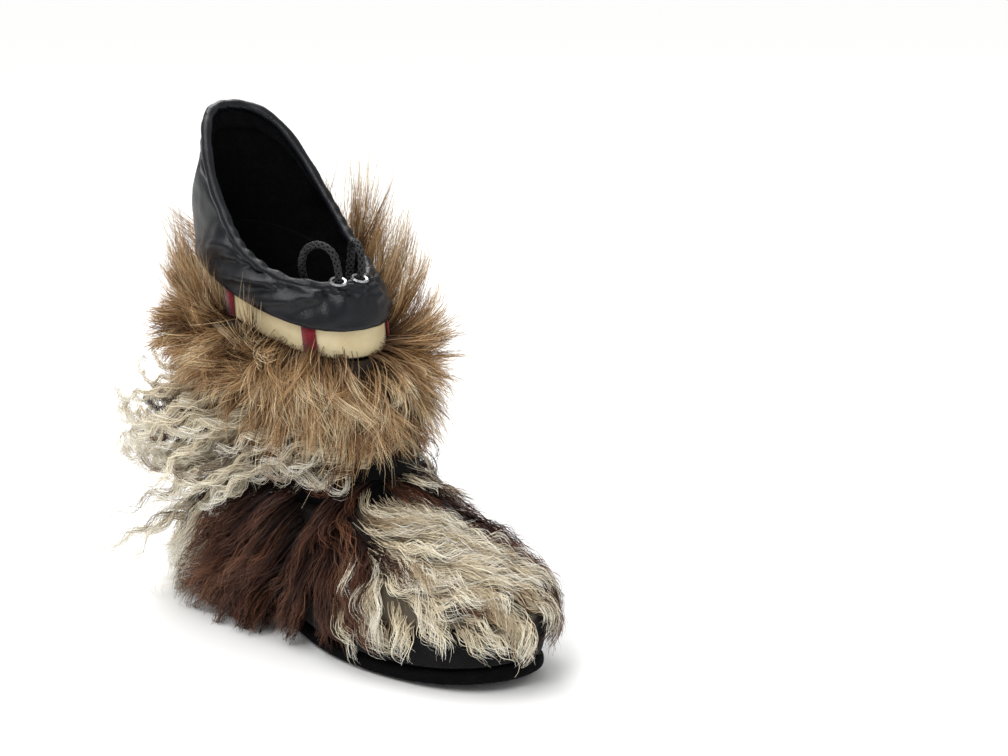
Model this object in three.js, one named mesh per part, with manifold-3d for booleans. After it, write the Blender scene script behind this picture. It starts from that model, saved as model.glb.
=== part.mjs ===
// Fur mukluk boot for the right foot, in millimetres, +Z up.
// The toe points along +X, so -Y is the outer side of the foot and +Y the inner side.
// The origin is on the floor, under the centre of the heel.

import * as THREE from "three";
import { mergeVertices } from "three/addons/utils/BufferGeometryUtils.js";
import Module from "manifold-3d";

const wasm = await Module();
wasm.setup();

// Driving dimensions
const GAP = 0.3; // air between pieces that meet
const SEWN_GAP = 0.45; // air under a strip that is bent round the upper
const COAT_GAP = 0.75; // air under a fur coat, whose facets lie across those of the upper
const COLUMNS = 32; // points around every wall that follows the last
const SOLE_THICKNESS = 10;
const SOLE_OVERHANG = 4; // how far the sole stands out from the last
const SOLE_EDGE_ROUND = 2.5;
const ARCH_RISE = 1.5; // how far the waist of the sole clears the floor
const ARCH = { start: 45, end: 122, ramp: 30 }; // stretch of the waist along X, and how soon it rises
const INSOLE_THICKNESS = 5;
const UPPER_WALL = 3; // hide and lining together
const RAND_THICKNESS = 2;
const RAND_SEAT = 1; // from the top of the sole to the rand's lower edge
const STRAP_THICKNESS = 2;
const BAND_THICKNESS = 1.8; // pale hide at the top of the shaft
const TOE_SPRING = 7; // lift of the sole at the toe
const TOE_SPRING_START = 176;
const TOE_SPRING_FADE = { start: 30, end: 110 }; // heights between which the lift fades out of the upper
const TOE_X = 240; // tip of the toe
const TOE_IN = 7; // how far the toe turns to the inner side
const TOE_IN_START = 90;
// How far the empty shaft leans to the outer side, and the heights between which it does
const LEAN = { reach: 12, start: 90, end: 210 };
const END_FULLNESS = 0.8; // under 1 makes the toe and heel blunter than an ellipse

// Sections of the last, from the sole upwards: the ends along X and the half widths at heel and ball.
const LAST = [
  { z: 10, back: -42, front: 236, heelHalf: 37, ballHalf: 52 },
  { z: 22, back: -43, front: 239, heelHalf: 38, ballHalf: 54 },
  { z: 36, back: -44, front: 240, heelHalf: 39, ballHalf: 55 },
  { z: 48, back: -44, front: 233, heelHalf: 39, ballHalf: 54 },
  { z: 58, back: -43, front: 216, heelHalf: 39, ballHalf: 51 },
  { z: 66, back: -42, front: 192, heelHalf: 39, ballHalf: 47 },
  { z: 74, back: -42, front: 164, heelHalf: 39, ballHalf: 44 },
  { z: 84, back: -42, front: 139, heelHalf: 39, ballHalf: 42 },
  { z: 96, back: -42, front: 122, heelHalf: 40, ballHalf: 42 },
  { z: 110, back: -42, front: 113, heelHalf: 41, ballHalf: 42 },
  { z: 130, back: -41, front: 107, heelHalf: 41, ballHalf: 42 },
  { z: 155, back: -39, front: 105, heelHalf: 41, ballHalf: 41 },
  { z: 185, back: -38, front: 104, heelHalf: 40, ballHalf: 40 },
  { z: 215, back: -38, front: 103, heelHalf: 40, ballHalf: 40 },
  { z: 260, back: -38, front: 103, heelHalf: 40, ballHalf: 40 },
];
// Where the heel width turns into the ball width, as a share of the length
const BALL = { start: 0.3, end: 0.7 };

// Lines around the boot: the height of each at the front, and how much higher it is at the back
const SOLE_SEAT = { front: SOLE_THICKNESS + GAP, rise: 0 };
const RAND_TOP = { front: 36, rise: -8 };
const STRAP_LOW = { front: 98, rise: -12 };
const STRAP_HIGH = { front: 112, rise: -12 };
const FOX_BOTTOM = { front: 136, rise: 28 };
const FOX_TOP = { front: 170, rise: 36 };
const BAND_TOP = { front: 196, rise: 37 };
const HEM = { front: 189, rise: 36 };

// Stretches of the boot between those lines, with the rows of faces that each is made of
const STRETCHES = {
  rand: { low: SOLE_SEAT, high: RAND_TOP, rows: 2 },
  foot: { low: RAND_TOP, high: STRAP_LOW, rows: 5 },
  strap: { low: STRAP_LOW, high: STRAP_HIGH, rows: 1 },
  shaft: { low: STRAP_HIGH, high: FOX_BOTTOM, rows: 3 },
  fox: { low: FOX_BOTTOM, high: FOX_TOP, rows: 2 },
  band: { low: FOX_TOP, high: BAND_TOP, rows: 1 },
};

// Collar: its rim is an oval that falls to the front, steeply at first and then level
const RIM = { backX: -38, backZ: 308, frontX: 95, frontZ: 214, half: 37, bow: 2.5 };
const COLLAR_WALL = 1.8;
const COLLAR_UPRIGHT = 22; // how far the sleeve heads straight up before it leans to the rim
const HEM_CLEARANCE = 3; // from the pale band to the collar's hem
const COLLAR_SHARES = [0, 0.25, 0.5, 0.72]; // rows of faces from the hem up to the casing
// The casing of the drawstring at the top of the sleeve: its rows, and how far it bulges to each side
const RIM_ROLL = { start: 0.84, bulge: [0.87, 0.94], end: 1, half: 2.4 };

// Fur coats, in millimetres off the upper: how thick each is at the front, side and back, its shape from
// the lower edge to the upper one, how far it hangs below its line, and what it hangs clear of
const COATS = {
  foot: { front: 13, side: 18, back: 32, shape: [0.75, 1, 1, 1.05, 1.05, 0.5], hang: 6, clear: 2.9 },
  shaft: { front: 15, side: 34, back: 42, shape: [0.9, 1, 0.95, 0.35], hang: 8, clear: 2.9 },
  fox: { front: 30, side: 37, back: 40, shape: [0.7, 1, 0.45], hang: 0, clear: 1 },
};
const HANG_FLARE = 0.2; // how much further out the underside of a coat is at its lower edge

// Locks of the coats: rings of them at a share of the coat's height, with their half width at the root, and
// how far the tip falls, falls more on the inner side, turns round the boot and stands off the coat
const LOCKS = {
  foot: [
    { at: 0.28, count: 11, width: 9, fall: 24, inner: 0, turn: 0.1, stand: 1 },
    { at: 0.72, count: 8, width: 9, fall: 30, inner: 0, turn: 0.16, stand: 2 },
  ],
  shaft: [
    { at: 0.4, count: 11, width: 9, fall: 26, inner: 0, turn: 0.24, stand: 5 },
    { at: 0.85, count: 8, width: 9, fall: 24, inner: 0, turn: -0.22, stand: 6 },
  ],
  fox: [
    { at: 0.45, count: 11, width: 9, fall: 32, inner: 0, turn: 0.1, stand: 3 },
    { at: 0.62, count: 10, width: 9, fall: -34, inner: -36, turn: 0.06, stand: -1 },
  ],
};
// How the locks of a ring differ: waves round the boot, the shift from ring to ring, and what they vary
const LOCK_VARIETY = { waves: 7.3, shift: 2.1, angle: 0.12, fall: 0.25 };
const MAKE_ROOM = 0.6; // how much a coat is grown to cut the one below it
const LOCK_RINGS = 3;
const LOCK_SIDES = 6;
const LOCK_FLATNESS = 0.55; // height of a lock's section against its width
const LOCK_ROOT = 0.6; // where the lock starts, as a share of the coat's thickness
const LOCK_TAPER = [1, 0.9, 0.65, 0.2]; // thickness from root to tip

// Long locks at the outer side of the heel: where each starts and ends, as angle, height and offset
const HEEL_LOCKS = [
  { from: [3.75, 66, 14], by: [3.84, 64, 56], to: [3.88, 46, 106] },
  { from: [3.98, 56, 14], by: [4.04, 52, 46], to: [4.06, 34, 82] },
  { from: [3.5, 54, 14], by: [3.56, 52, 48], to: [3.62, 36, 84] },
];
const HEEL_LOCK_WIDTH = 9;

// Red felt tabs on the pale band, by angle from the toe
const TAB = { angles: [-1.59, -0.6, 0.6, 1.59], width: 8, thickness: 1, seat: 2, tuck: 2 };

// Eyelets in the casing at the front of the rim, and the drawstring's two ends tucked in behind them
const EYELET = { angles: [-0.19, 0.16], share: 0.92, hole: 3.5, wire: 1.1, leads: [GAP, 2, 4, 6] };
const CORD_RADIUS = 2.6;
const CORD_SIDES = 6;
const CORD_RINGS = 20;
const AGLET = { radius: 2.9, length: 18 };
const CORD_ROUTES = [
  [
    [95, -22, 234],
    [86, -25, 238],
    [76, -28, 234],
    [72, -29, 224],
    [70, -22, 205],
    [64, -10, 186],
    [59, -3, 168],
  ],
  [
    [96, -3, 233],
    [88, -1, 237],
    [79, 2, 233],
    [76, 3, 224],
    [75, 1, 207],
    [73, -8, 186],
    [71, -18, 164],
  ],
];

const lerp = THREE.MathUtils.lerp;
const smooth = THREE.MathUtils.smoothstep;
const fullTurn = 2 * Math.PI;
const signedPower = (value, power) => Math.sign(value) * Math.abs(value) ** power;
const shareAlong = (angle) => (1 + Math.cos(angle)) / 2; // 0 at the heel, 1 at the toe
const heightOf = (line, angle) => line.front + line.rise * (1 - shareAlong(angle));

// One column of the last at any height, by a cubic through the rows
function lastColumn(z, name) {
  const row = (k) => LAST[THREE.MathUtils.clamp(k, 0, LAST.length - 1)];
  const above = LAST.findIndex((r) => r.z > z);
  const k = above < 1 ? (above === 0 ? 0 : LAST.length - 2) : above - 1;
  const span = row(k + 1).z - row(k).z;
  const t = (z - row(k).z) / span;
  const slope = (m) => ((row(m + 1)[name] - row(m - 1)[name]) / (row(m + 1).z - row(m - 1).z)) * span;
  const [t2, t3] = [t * t, t * t * t];
  return (
    row(k)[name] * (2 * t3 - 3 * t2 + 1) +
    slope(k) * (t3 - 2 * t2 + t) +
    row(k + 1)[name] * (3 * t2 - 2 * t3) +
    slope(k + 1) * (t3 - t2)
  );
}

const toeSpring = (x) => TOE_SPRING * Math.max(0, (x - TOE_SPRING_START) / (TOE_X - TOE_SPRING_START)) ** 2;
const toeIn = (x) => TOE_IN * Math.max(0, (x - TOE_IN_START) / (TOE_X - TOE_IN_START)) ** 2;
const springFade = (z) => 1 - smooth(z, TOE_SPRING_FADE.start, TOE_SPRING_FADE.end);
const leanAt = (z) => LEAN.reach * smooth(z, LEAN.start, LEAN.end);

// A point on the last. The angle runs from the toe round the inner side to the heel and back.
function lastPoint(angle, z) {
  const along = shareAlong(angle);
  const x = lerp(lastColumn(z, "back"), lastColumn(z, "front"), along);
  const ball = smooth(along, BALL.start, BALL.end);
  const half = lerp(lastColumn(z, "heelHalf"), lastColumn(z, "ballHalf"), ball);
  const y = toeIn(x) - leanAt(z) + half * signedPower(Math.sin(angle), END_FULLNESS);
  return new THREE.Vector3(x, y, z + toeSpring(x) * springFade(z));
}

// A point that stands off a surface along its normal. The surface is a function of an angle and a height.
function raised(surface, angle, t, offset) {
  const step = 1e-3;
  const around = surface(angle + step, t).sub(surface(angle - step, t));
  const up = surface(angle, t + step).sub(surface(angle, t - step));
  return surface(angle, t).addScaledVector(around.cross(up).normalize(), offset);
}

const ring = (count, pointAt) => Array.from({ length: count }, (_, k) => pointAt((fullTurn * k) / count));

// A closed mesh from rings of points. An endless one joins its last ring to its first, as a tube bent into
// a hoop does, and any other gets a face across each end.
function ringMesh(rings, endless) {
  const count = rings[0].length;
  const index = (i, j) => (i % rings.length) * count + (j % count);
  const triangles = [];
  for (let i = 0; i < rings.length - (endless ? 0 : 1); i++) {
    for (let j = 0; j < count; j++) {
      triangles.push(index(i, j), index(i, j + 1), index(i + 1, j + 1));
      triangles.push(index(i, j), index(i + 1, j + 1), index(i + 1, j));
    }
  }
  const addEnd = (i, up) => {
    for (let j = 0; j < count / 2; j++) {
      const corners = [index(i, j), index(i, j + 1), index(i, count - j - 1), index(i, count - j)];
      if (!up) corners.reverse();
      const [a, b, c, d] = corners;
      if (new Set([a, b, c]).size === 3) triangles.push(a, b, c);
      if (new Set([a, c, d]).size === 3) triangles.push(a, c, d);
    }
  };
  if (!endless) {
    addEnd(0, false);
    addEnd(rings.length - 1, true);
  }
  const geometry = new THREE.BufferGeometry();
  const numbers = rings.flat().flatMap((point) => point.toArray());
  geometry.setAttribute("position", new THREE.Float32BufferAttribute(numbers, 3));
  geometry.setIndex(triangles);
  return geometry;
}

// A wall on a surface: profileAt gives, at each angle, the corners of its section as [height, offset],
// up the outside and down the inside.
function wallOn(surface, profileAt, columns = COLUMNS) {
  const corners = profileAt(0).length;
  const rings = Array.from({ length: corners }, (_, k) =>
    ring(columns, (angle) => raised(surface, angle, ...profileAt(angle)[k])),
  );
  return ringMesh(rings, true);
}

// The heights of a stretch's rows at one angle, from its lower line to its upper one
function heightsOf(stretch, angle) {
  const [low, high] = [heightOf(stretch.low, angle), heightOf(stretch.high, angle)];
  return Array.from({ length: stretch.rows + 1 }, (_, k) => lerp(low, high, k / stretch.rows));
}

// The section of a plain wall between two offsets
const plainWall = (heights, inner, outer) => [
  ...heights.map((z) => [z, outer]),
  ...heights.toReversed().map((z) => [z, inner]),
];

// Joining and cutting
function solidOf(geometry) {
  const bare = geometry.clone();
  bare.deleteAttribute("normal");
  bare.deleteAttribute("uv");
  const merged = mergeVertices(bare);
  return new wasm.Manifold(
    new wasm.Mesh({
      numProp: 3,
      vertProperties: merged.attributes.position.array,
      triVerts: new Uint32Array(merged.index.array),
    }),
  );
}

function geometryOf(solid) {
  const mesh = solid.getMesh();
  const geometry = new THREE.BufferGeometry();
  geometry.setAttribute("position", new THREE.BufferAttribute(mesh.vertProperties, mesh.numProp));
  geometry.setIndex(new THREE.BufferAttribute(mesh.triVerts, 1));
  return geometry;
}

const boot = new THREE.Group();

function addPiece(name, geometry, colour, roughness, metalness = 0) {
  geometry.computeVertexNormals();
  const material = new THREE.MeshStandardMaterial({ color: colour, roughness, metalness });
  const mesh = new THREE.Mesh(geometry, material);
  mesh.name = name;
  boot.add(mesh);
  return mesh;
}

// Outsole: a thick felt and suede sole with a lifted toe and a raised waist
function outsole() {
  const waist = (x) =>
    smooth(x, ARCH.start, ARCH.start + ARCH.ramp) * (1 - smooth(x, ARCH.end - ARCH.ramp, ARCH.end));
  const level = (inset, height, arched) =>
    ring(COLUMNS, (angle) => {
      const p = raised(lastPoint, angle, SOLE_THICKNESS, SOLE_OVERHANG - inset);
      const lift = toeSpring(p.x) + (arched ? ARCH_RISE * waist(p.x) : 0);
      return new THREE.Vector3(p.x, p.y, height + lift);
    });
  return ringMesh(
    [
      level(SOLE_EDGE_ROUND, 0, true),
      level(0, SOLE_EDGE_ROUND, false),
      level(0, SOLE_THICKNESS - SOLE_EDGE_ROUND, false),
      level(SOLE_EDGE_ROUND / 2, SOLE_THICKNESS, false),
    ],
    false,
  );
}

// Insole: lies inside the upper's wall, on the outsole
function insole() {
  const level = (height) =>
    ring(COLUMNS, (angle) => {
      const p = raised(lastPoint, angle, SOLE_THICKNESS, -UPPER_WALL - GAP);
      return new THREE.Vector3(p.x, p.y, height + toeSpring(p.x));
    });
  return ringMesh([level(SOLE_THICKNESS + GAP), level(SOLE_THICKNESS + GAP + INSOLE_THICKNESS)], false);
}

// Upper: one hollow wall from the sole to the top of the shaft, open at both ends
const upper = wallOn(lastPoint, (angle) => {
  const heights = Object.values(STRETCHES).flatMap((stretch) => heightsOf(stretch, angle).slice(1));
  return plainWall([heightOf(SOLE_SEAT, angle), ...heights], -UPPER_WALL, 0);
});

addPiece("outsole", outsole(), 0x17161a, 0.95);
addPiece("insole", insole(), 0x1c1b1d, 0.95);
addPiece("upper", upper, 0x8a7a63, 0.85);

// A strip of hide or suede sewn on the upper along one stretch, a seam's gap inside its two lines
function sewnStrip(stretch, thickness, seat = GAP) {
  return wallOn(lastPoint, (angle) => {
    const heights = heightsOf(stretch, angle);
    heights[0] += seat;
    heights[heights.length - 1] -= GAP;
    return plainWall(heights, SEWN_GAP, SEWN_GAP + thickness);
  });
}

addPiece("rand", sewnStrip(STRETCHES.rand, RAND_THICKNESS, RAND_SEAT), 0x121214, 0.9);
addPiece("ankle_strap", sewnStrip(STRETCHES.strap, STRAP_THICKNESS), 0x141416, 0.8);
addPiece("pale_band", sewnStrip(STRETCHES.band, BAND_THICKNESS), 0xd9c795, 0.7);

// Collar: a soft leather sleeve from its hem, outside the pale band, up to the drawn rim
function collarPoint(angle, share) {
  const hem = raised(lastPoint, angle, heightOf(HEM, angle), SEWN_GAP + BAND_THICKNESS + HEM_CLEARANCE);
  const along = shareAlong(angle);
  const rim = new THREE.Vector3(
    lerp(RIM.backX, RIM.frontX, along),
    -LEAN.reach + RIM.half * Math.sin(angle),
    lerp(RIM.frontZ, RIM.backZ, Math.sin((Math.PI / 2) * (1 - along) ** RIM.bow)),
  );
  const shoulder = hem.clone().setZ(hem.z + COLLAR_UPRIGHT);
  return new THREE.QuadraticBezierCurve3(hem, shoulder, rim).getPoint(share);
}

const collar = wallOn(collarPoint, () => {
  const half = COLLAR_WALL / 2;
  const sleeve = [...COLLAR_SHARES, RIM_ROLL.start].map((share) => [share, half]);
  const casing = RIM_ROLL.bulge.map((share) => [share, RIM_ROLL.half]);
  const rows = [...sleeve, ...casing, [RIM_ROLL.end, half]];
  return [...rows, ...rows.toReversed().map(([share, offset]) => [share, -offset])];
});
addPiece("collar", collar, 0x1b1b20, 0.45);

// Fur coats: a thick wall over one stretch of the upper, with locks fused on
function coatThickness(coat, angle) {
  const ends = lerp(coat.back, coat.front, shareAlong(angle));
  return lerp(ends, coat.side, Math.sin(angle) ** 2);
}

function coatBody(stretch, coat, grow) {
  return wallOn(lastPoint, (angle) => {
    const heights = heightsOf(stretch, angle);
    heights[0] += GAP;
    heights[heights.length - 1] -= GAP;
    const thickness = coatThickness(coat, angle);
    const outside = heights.map((z, k) => [z, thickness * coat.shape[k] + grow]);
    outside[0][0] -= coat.hang + grow;
    const inside = heights.toReversed().map((z) => [z, COAT_GAP]);
    const underside = [
      [heights[0], coat.clear],
      [outside[0][0], coat.clear + HANG_FLARE],
    ];
    return [...outside, ...inside, ...underside];
  });
}

// A tapered, flattened tube through three stops given as angle, height and offset from the upper
function lock(stops, width) {
  const curve = new THREE.CatmullRomCurve3(stops.map((stop) => raised(lastPoint, ...stop)));
  const [angle, z, offset] = stops[1];
  const out = raised(lastPoint, angle, z, offset + 1).sub(raised(lastPoint, angle, z, offset));
  const rings = LOCK_TAPER.map((taper, k) => {
    const along = curve.getTangent(k / LOCK_RINGS);
    const across = along.clone().cross(out).normalize();
    const up = across.clone().cross(along);
    return ring(LOCK_SIDES, (turn) =>
      curve
        .getPoint(k / LOCK_RINGS)
        .addScaledVector(up, width * LOCK_FLATNESS * taper * Math.cos(turn))
        .addScaledVector(across, width * taper * Math.sin(turn)),
    );
  });
  return ringMesh(rings, false);
}

function coatLocks(stretch, coat, rows) {
  return rows.flatMap((row, r) =>
    ring(row.count, (turn) => {
      const vary = Math.sin(LOCK_VARIETY.waves * turn + LOCK_VARIETY.shift * r);
      const angle = turn + r / row.count + LOCK_VARIETY.angle * vary;
      const thickness = coatThickness(coat, angle);
      const z = lerp(heightOf(stretch.low, angle), heightOf(stretch.high, angle), row.at);
      const inner = row.inner * Math.max(0, Math.sin(angle));
      const fall = row.fall * (1 + LOCK_VARIETY.fall * vary) + inner;
      return lock(
        [
          [angle, z, thickness * LOCK_ROOT],
          [angle + row.turn / 2, z - fall / 3, thickness + row.stand / 2],
          [angle + row.turn, z - fall, thickness + row.stand],
        ],
        row.width,
      );
    }),
  );
}

function coat(name, grow = 0) {
  const [stretch, sizes] = [STRETCHES[name], COATS[name]];
  const rows = LOCKS[name].map((row) => ({ ...row, width: row.width + grow }));
  const long = name === "foot" ? HEEL_LOCKS : [];
  const locks = [
    ...coatLocks(stretch, sizes, rows),
    ...long.map(({ from, by, to }) => lock([from, by, to], HEEL_LOCK_WIDTH)),
  ];
  return locks.reduce((sum, one) => sum.add(solidOf(one)), solidOf(coatBody(stretch, sizes, grow)));
}

// Each coat makes room for the one that hangs over it, and loose ends of locks are dropped
function underCoat(name, above) {
  const bodies = coat(name).subtract(coat(above, MAKE_ROOM)).decompose();
  return bodies.reduce((most, body) => (body.volume() > most.volume() ? body : most));
}

addPiece("foot_pelt", geometryOf(underCoat("foot", "shaft")), 0x4b3427, 0.95);
addPiece("shaft_fleece", geometryOf(underCoat("shaft", "fox")), 0xcabfa8, 0.95);
addPiece("fox_fur_band", geometryOf(coat("fox")), 0xa98355, 0.95);

// Red tabs: small slabs bent to the pale band
function tab(angle) {
  const step = 1e-3;
  const z = heightOf(FOX_TOP, angle);
  const reach = lastPoint(angle + step, z).distanceTo(lastPoint(angle - step, z)) / (2 * step);
  const halfAngle = TAB.width / 2 / reach;
  const inner = SEWN_GAP + BAND_THICKNESS + SEWN_GAP;
  const corners = [
    [-halfAngle, inner + TAB.thickness],
    [halfAngle, inner + TAB.thickness],
    [halfAngle, inner],
    [-halfAngle, inner],
  ];
  const level = (line, shift) =>
    corners.map(([turn, offset]) => raised(lastPoint, angle + turn, heightOf(line, angle) + shift, offset));
  return ringMesh([level(FOX_TOP, TAB.seat), level(HEM, TAB.tuck)], false);
}

TAB.angles.forEach((angle, k) => addPiece(`red_tab_${k + 1}`, tab(angle), 0x8c1526, 0.9));

// A tube of one thickness along a smooth curve
function tube(curve, radius, rings) {
  const { normals, binormals } = curve.computeFrenetFrames(rings);
  return ringMesh(
    Array.from({ length: rings + 1 }, (_, k) =>
      ring(CORD_SIDES, (turn) =>
        curve
          .getPointAt(k / rings)
          .addScaledVector(normals[k], radius * Math.cos(turn))
          .addScaledVector(binormals[k], radius * Math.sin(turn)),
      ),
    ),
    false,
  );
}

EYELET.angles.forEach((angle, k) => {
  const side = k === 0 ? "outer" : "inner";
  const offsetAt = (height) => raised(collarPoint, angle, EYELET.share, RIM_ROLL.half + height);
  const axis = offsetAt(1).sub(offsetAt(0)).normalize();
  const eyelet = new THREE.TorusGeometry(EYELET.hole + EYELET.wire, EYELET.wire, 5, 14);
  eyelet.applyQuaternion(new THREE.Quaternion().setFromUnitVectors(new THREE.Vector3(0, 0, 1), axis));
  eyelet.translate(...offsetAt(EYELET.wire + GAP));
  addPiece(`eyelet_${side}`, eyelet, 0xb8b8bc, 0.3, 1);

  const stops = CORD_ROUTES[k].map((stop) => new THREE.Vector3(...stop));
  const route = new THREE.CatmullRomCurve3([...EYELET.leads.map(offsetAt), ...stops]);
  addPiece(`drawstring_${side}`, tube(route, CORD_RADIUS, CORD_RINGS), 0x151517, 0.85);

  const end = route.getPoint(1);
  const heading = route.getTangent(1);
  const tip = new THREE.LineCurve3(
    end.clone().addScaledVector(heading, GAP),
    end.clone().addScaledVector(heading, GAP + AGLET.length),
  );
  addPiece(`aglet_${side}`, tube(tip, AGLET.radius, 1), 0x2a2a2d, 0.35, 1);
});

export default boot;
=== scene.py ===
# %% [markdown]
# # A fur mukluk boot
# The boot has a flat felt sole, a suede wall above it, a foot and shaft of shaggy goat and sheep fur,
# a thick fox fur band, and a soft black leather collar that a drawstring pulls together.
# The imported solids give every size, so this lesson only dresses them: it reads their meshes, grows
# hair on them and gives each piece the finish of its material.

# %% Load the frame
import math

import bmesh
import bpy
import numpy as np
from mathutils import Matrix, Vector, noise
from mathutils.bvhtree import BVHTree


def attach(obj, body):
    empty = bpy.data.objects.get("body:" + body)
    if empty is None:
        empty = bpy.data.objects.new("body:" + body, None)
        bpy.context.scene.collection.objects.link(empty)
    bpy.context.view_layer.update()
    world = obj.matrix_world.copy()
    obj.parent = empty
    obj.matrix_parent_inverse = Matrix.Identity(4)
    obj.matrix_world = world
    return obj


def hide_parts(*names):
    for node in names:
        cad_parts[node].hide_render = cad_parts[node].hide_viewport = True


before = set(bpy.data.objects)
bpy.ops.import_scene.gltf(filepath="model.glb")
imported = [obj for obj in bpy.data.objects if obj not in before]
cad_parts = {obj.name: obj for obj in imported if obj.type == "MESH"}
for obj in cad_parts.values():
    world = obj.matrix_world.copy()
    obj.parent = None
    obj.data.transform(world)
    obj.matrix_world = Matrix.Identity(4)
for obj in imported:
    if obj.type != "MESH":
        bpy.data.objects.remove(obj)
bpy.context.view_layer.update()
MM = 0.001
print("solids:", ", ".join(sorted(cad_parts)))

# %% [markdown]
# ## Three small helpers
# Colours are easiest to pick as the hex values of a paint program, but Blender mixes light in linear
# values, so one function converts them. The second adds a node with its settings and links. The third
# puts a finished mesh into the scene and ties it to the boot's only body.

# %% Helpers for colours, nodes and pieces
def linear(hex_colour):
    channels = [int(hex_colour[k : k + 2], 16) / 255 for k in (1, 3, 5)]
    return [c / 12.92 if c <= 0.04045 else ((c + 0.055) / 1.055) ** 2.4 for c in channels]


def add_node(material, kind, links=(), inputs=(), **settings):
    tree = material.node_tree
    node = tree.nodes.new(kind)
    for name, value in settings.items():
        setattr(node, name, value)
    for socket, value in dict(inputs).items():
        node.inputs[socket].default_value = value
    for socket, source in dict(links).items():
        tree.links.new(source, node.inputs[socket])
    return node


def add_piece(name, mesh, materials, slot, *nodes):
    piece = bpy.data.objects.new(name, mesh)
    bpy.context.scene.collection.objects.link(piece)
    for material in materials:
        mesh.materials.append(material)
    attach(piece, "root")
    if nodes:
        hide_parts(*nodes)
    print(f"{name}: {sum(len(face.vertices) - 2 for face in mesh.polygons)} triangles")
    return piece


# %% [markdown]
# ## Camera, floor and light
# The boot is seen a little from above with its toe turned towards the camera, through a long lens.
# The studio is a white sweep with large soft lights, so shadows are faint and fur stays readable.

# %% Camera
camera = bpy.data.objects.new("camera", bpy.data.cameras.new("camera"))
bpy.context.scene.collection.objects.link(camera)
camera.location = Vector((1265, -788, 513)) * MM
AIM = Vector((62, 129, 129)) * MM
camera.rotation_euler = (AIM - camera.location).to_track_quat("-Z", "Y").to_euler()
camera.data.sensor_width = 36
camera.data.lens = 86.8
bpy.context.scene.camera = camera
print("camera distance:", round((AIM - camera.location).length, 3), "m")

# %% Floor
FLOOR_HALF = 6
floor_mesh = bpy.data.meshes.new("floor")
floor_shape = bmesh.new()
bmesh.ops.create_grid(floor_shape, x_segments=1, y_segments=1, size=FLOOR_HALF)
floor_shape.to_mesh(floor_mesh)
floor_shape.free()
floor = bpy.data.objects.new("floor", floor_mesh)
bpy.context.scene.collection.objects.link(floor)
# White paper sweep: matt, with a faint tooth
paper = bpy.data.materials.new("white_paper_sweep")
paper.use_nodes = True
paper.node_tree.nodes["Principled BSDF"].inputs["Base Color"].default_value = (*linear("#fbfbfa"), 1)
paper.node_tree.nodes["Principled BSDF"].inputs["Roughness"].default_value = 0.9
floor_mesh.materials.append(paper)

# %% Lights
LIGHTS = [
    {"name": "key", "at": (0.9, -1.3, 1.7), "power": 16, "size": 0.9},
    {"name": "fill", "at": (1.6, 1.0, 1.1), "power": 4, "size": 1.6},
    {"name": "back", "at": (-1.2, 0.6, 1.5), "power": 16, "size": 1.0},
]
# A wide, even light from above that reaches the far end of the sweep
CEILING = {"at": Vector((-0.4, -0.5, 2)), "strength": 1.75, "angle": math.radians(50)}
WORLD_STRENGTH = 0.5
LIT_POINT = Vector((50, 0, 120)) * MM
for light in LIGHTS:
    data = bpy.data.lights.new(light["name"], "AREA")
    data.energy = light["power"]
    data.size = light["size"]
    lamp = bpy.data.objects.new(light["name"], data)
    lamp.location = light["at"]
    lamp.rotation_euler = (LIT_POINT - lamp.location).to_track_quat("-Z", "Y").to_euler()
    bpy.context.scene.collection.objects.link(lamp)
ceiling = bpy.data.lights.new("ceiling", "SUN")
ceiling.energy = CEILING["strength"]
ceiling.angle = CEILING["angle"]
ceiling_lamp = bpy.data.objects.new("ceiling", ceiling)
ceiling_lamp.rotation_euler = (-CEILING["at"]).to_track_quat("-Z", "Y").to_euler()
bpy.context.scene.collection.objects.link(ceiling_lamp)
world = bpy.data.worlds.new("studio")
world.use_nodes = True
world.node_tree.nodes["Background"].inputs["Color"].default_value = (1, 1, 1, 1)
world.node_tree.nodes["Background"].inputs["Strength"].default_value = WORLD_STRENGTH
bpy.context.scene.world = world
bpy.context.scene.view_settings.view_transform = "Standard"
print("lights:", len(LIGHTS) + 1)

# %% [markdown]
# ## Plain materials
# Suede, felt, hide and leather differ mostly in their grain and in how sharp their highlights are.
# Each is a Principled shader with a noise for the colour, a finer noise or cells for the bump, and a
# roughness that fits the finish. The scales come from real sizes: a 0.9 mm grain is 1000 / 0.9 per metre.

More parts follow.
